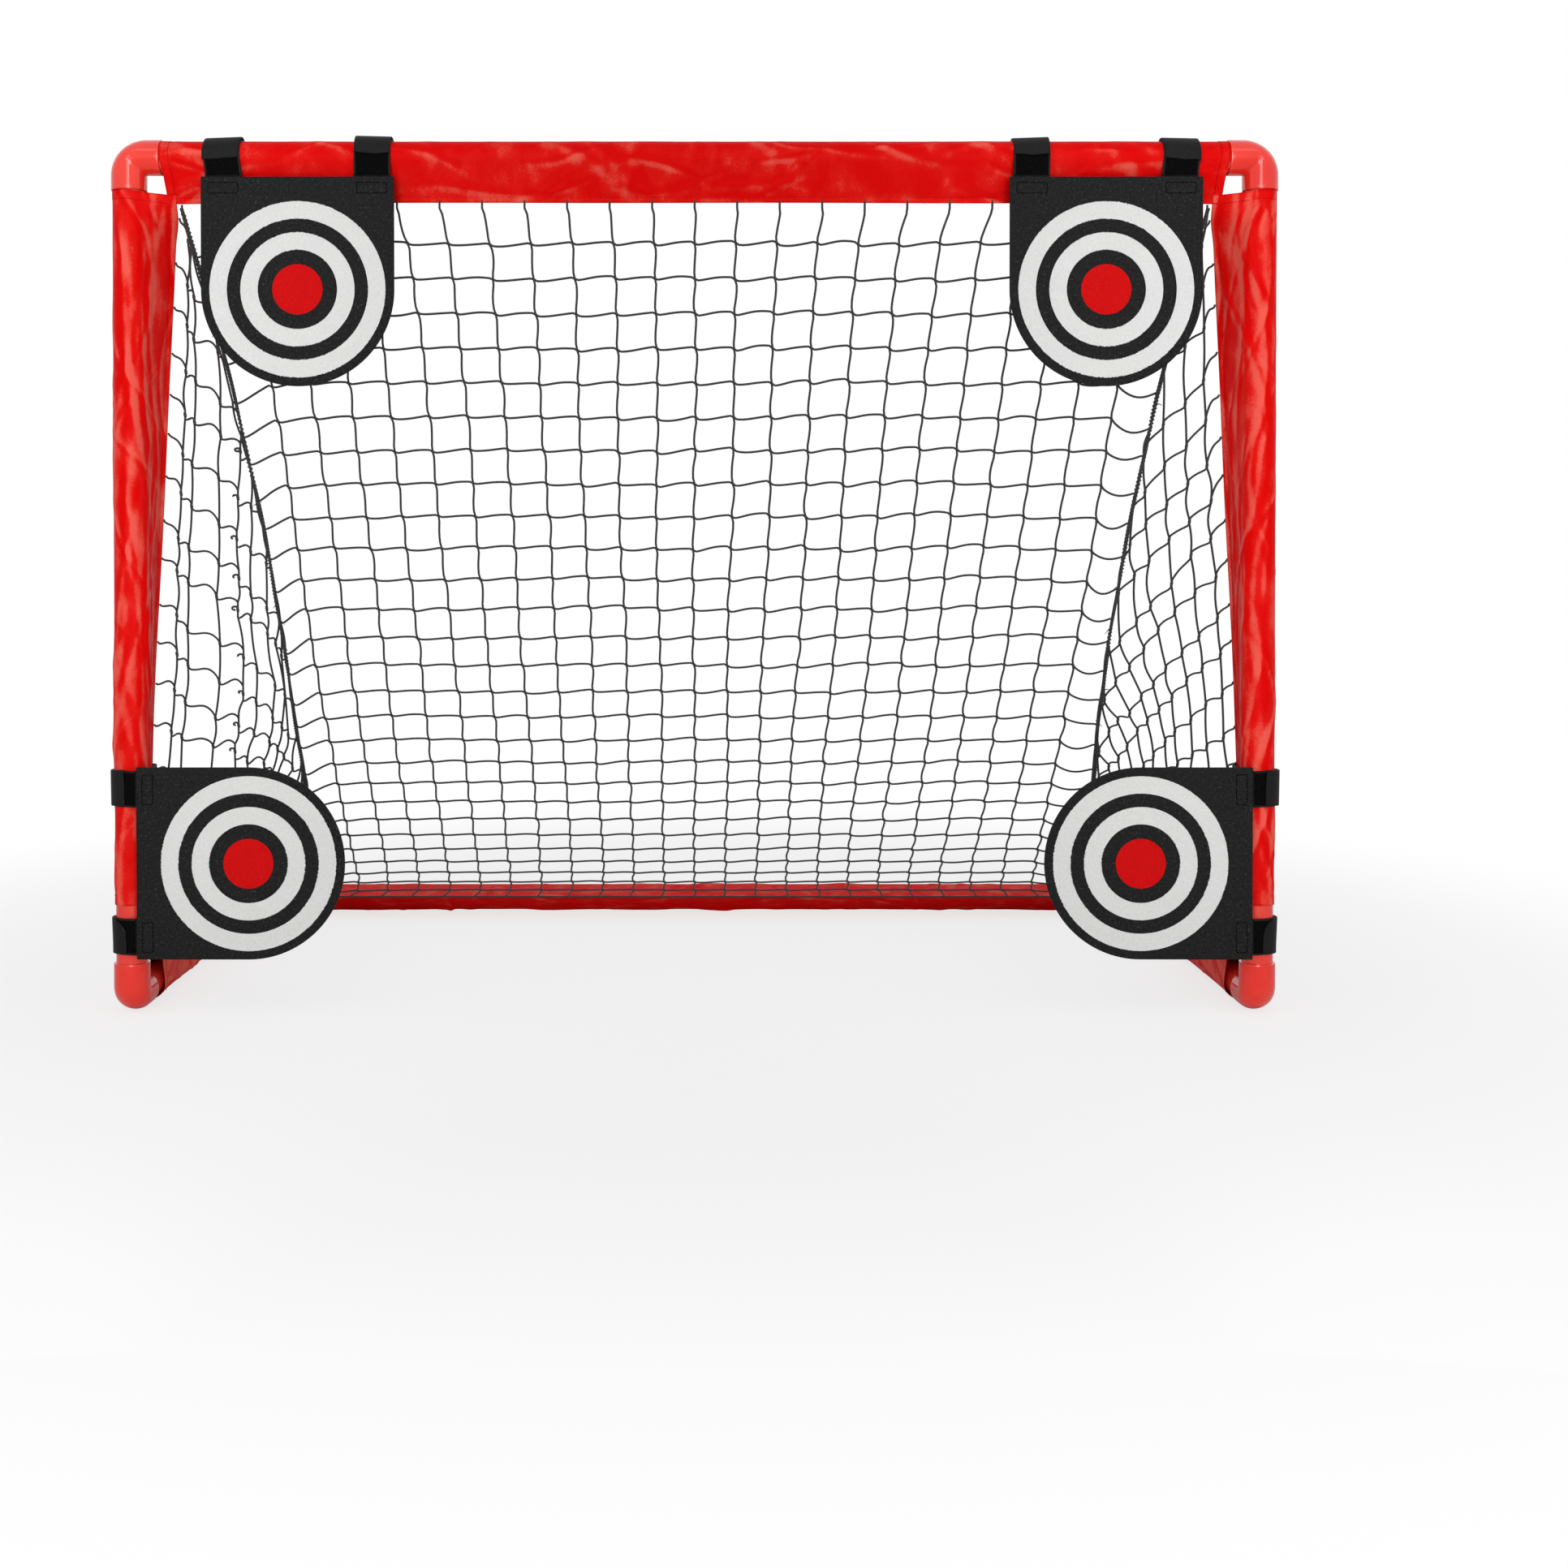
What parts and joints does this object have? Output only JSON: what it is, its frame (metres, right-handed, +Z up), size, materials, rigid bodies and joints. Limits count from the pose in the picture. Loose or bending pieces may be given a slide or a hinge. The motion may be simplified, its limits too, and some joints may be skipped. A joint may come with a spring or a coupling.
{
  "type": "hockey goal net",
  "caption": "Tube-frame hockey goal with cloth sleeves, a laced twine net that slopes to a rear base bar, and strapped corner shooting targets that swing.",
  "frame": {"origin": "on the floor at the middle of the goal line, under the axis of the top bar", "axes": "+Z up, +X to the right of a shooter who faces the goal, +Y from the goal line into the net"},
  "size_m": [1.2236, 0.613, 0.9163],
  "materials": {
    "frame_tube": "semi-gloss extruded tube",
    "frame_elbow": "gloss moulded fitting",
    "inner_plug": "plain extruded plug",
    "sleeve_cloth": "satin polyester sleeve cloth with stitched hems",
    "net_twine": "braided twine, matt",
    "strap_webbing": "hook-and-loop webbing with satin tab",
    "target_cloth": "woven polyester, matt",
    "target_ring_print": "screen print on the weave",
    "target_centre_print": "screen print on the weave"
  },
  "bodies": {
    "root": {"top_bar_left": "frame_tube", "top_bar_right": "frame_tube", "post_left": "frame_tube", "post_right": "frame_tube", "side_rail_left": "frame_tube", "side_rail_right": "frame_tube", "rear_bar_left": "frame_tube", "rear_bar_right": "frame_tube", "top_bar_coupler": "inner_plug", "rear_bar_coupler": "inner_plug", "elbow_top_left": "frame_elbow", "elbow_top_right": "frame_elbow", "elbow_base_left": "frame_elbow", "elbow_base_right": "frame_elbow", "elbow_rear_left": "frame_elbow", "elbow_rear_right": "frame_elbow", "sleeve_top": "sleeve_cloth", "sleeve_post_left": "sleeve_cloth", "sleeve_post_right": "sleeve_cloth", "sleeve_side_left": "sleeve_cloth", "sleeve_side_right": "sleeve_cloth", "sleeve_rear": "sleeve_cloth", "net_back": "net_twine", "net_side_left": "net_twine", "net_side_right": "net_twine", "seam_lacing_left": "net_twine", "seam_lacing_right": "net_twine", "strap_top_left_outer": "strap_webbing", "strap_top_left_inner": "strap_webbing", "strap_top_right_inner": "strap_webbing", "strap_top_right_outer": "strap_webbing", "strap_base_left_upper": "strap_webbing", "strap_base_left_lower": "strap_webbing", "strap_base_right_upper": "strap_webbing", "strap_base_right_lower": "strap_webbing"},
    "panel_top_left": {"target_top_left": "target_cloth", "rings_top_left": "target_ring_print", "centre_top_left": "target_centre_print"},
    "panel_top_right": {"target_top_right": "target_cloth", "rings_top_right": "target_ring_print", "centre_top_right": "target_centre_print"},
    "panel_base_left": {"target_base_left": "target_cloth", "rings_base_left": "target_ring_print", "centre_base_left": "target_centre_print"},
    "panel_base_right": {"target_base_right": "target_cloth", "rings_base_right": "target_ring_print", "centre_base_right": "target_centre_print"}
  },
  "joints": [
    {"name": "flap_top_left", "type": "hinge", "parent": "root", "child": "panel_top_left", "pos_m": [-0.411, -0.02, 0.872], "axis": [1, 0, 0], "range_deg": [-90, 10]},
    {"name": "flap_top_right", "type": "hinge", "parent": "root", "child": "panel_top_right", "pos_m": [0.426, -0.02, 0.872], "axis": [1, 0, 0], "range_deg": [-90, 10]},
    {"name": "swing_base_left", "type": "hinge", "parent": "root", "child": "panel_base_left", "pos_m": [-0.58, -0.02, 0.16], "axis": [0, 0, 1], "range_deg": [-90, 40]},
    {"name": "swing_base_right", "type": "hinge", "parent": "root", "child": "panel_base_right", "pos_m": [0.58, -0.02, 0.16], "axis": [0, 0, 1], "range_deg": [-40, 90]}
  ]
}
